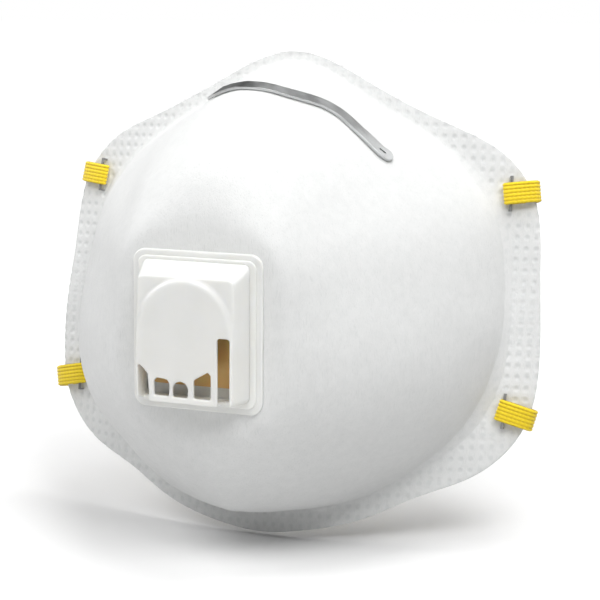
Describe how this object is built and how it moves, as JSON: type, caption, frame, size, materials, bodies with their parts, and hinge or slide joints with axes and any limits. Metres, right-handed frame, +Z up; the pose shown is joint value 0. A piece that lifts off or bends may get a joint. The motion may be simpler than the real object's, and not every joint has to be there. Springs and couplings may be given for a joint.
{
  "type": "valved disposable dust mask",
  "caption": "Cup-shaped moulded dust mask with an exhalation valve, a bendable nose clip and elastic headbands.",
  "frame": {"origin": "centre of the face opening, on the plane of the rim that seals to the face", "axes": "+Z up as worn, -Y out of the mask through the valve, +X towards the wearer's left; the valve plate is upright and the rim leans back 11.2 degrees"},
  "size_m": [0.14, 0.0825, 0.1265],
  "materials": {
    "outer_nonwoven": "soft matte nonwoven web",
    "filter_fibre": "fine fibre mat",
    "shell_nonwoven": "stiff thermoformed fibre shell",
    "inner_nonwoven": "smooth soft web",
    "clip_aluminium": "satin rolled strip",
    "foam": "open soft foam",
    "valve_plastic": "satin moulded polypropylene",
    "flap_rubber": "amber translucent rubber",
    "staple_steel": "flat galvanised wire",
    "band_elastic": "braided elastic"
  },
  "bodies": {
    "mask_body": {"outer_cover_web": "outer_nonwoven", "filter_media": "filter_fibre", "stiffening_shell": "shell_nonwoven", "inner_cover_web": "inner_nonwoven", "nose_clip": "clip_aluminium", "nose_foam": "foam", "valve_seat": "valve_plastic", "valve_cover": "valve_plastic", "staples": "staple_steel", "upper_headband": "band_elastic", "lower_headband": "band_elastic"},
    "flap": {"valve_flap": "flap_rubber"}
  },
  "joints": [
    {"name": "flap_hinge", "type": "hinge", "parent": "mask_body", "child": "flap", "pos_m": [0, -0.05405, 0.0107], "axis": [1, 0, 0], "range_deg": [-10, 0], "stiffness_Nm_per_rad": 0.0006, "springref_deg": 6.88}
  ]
}
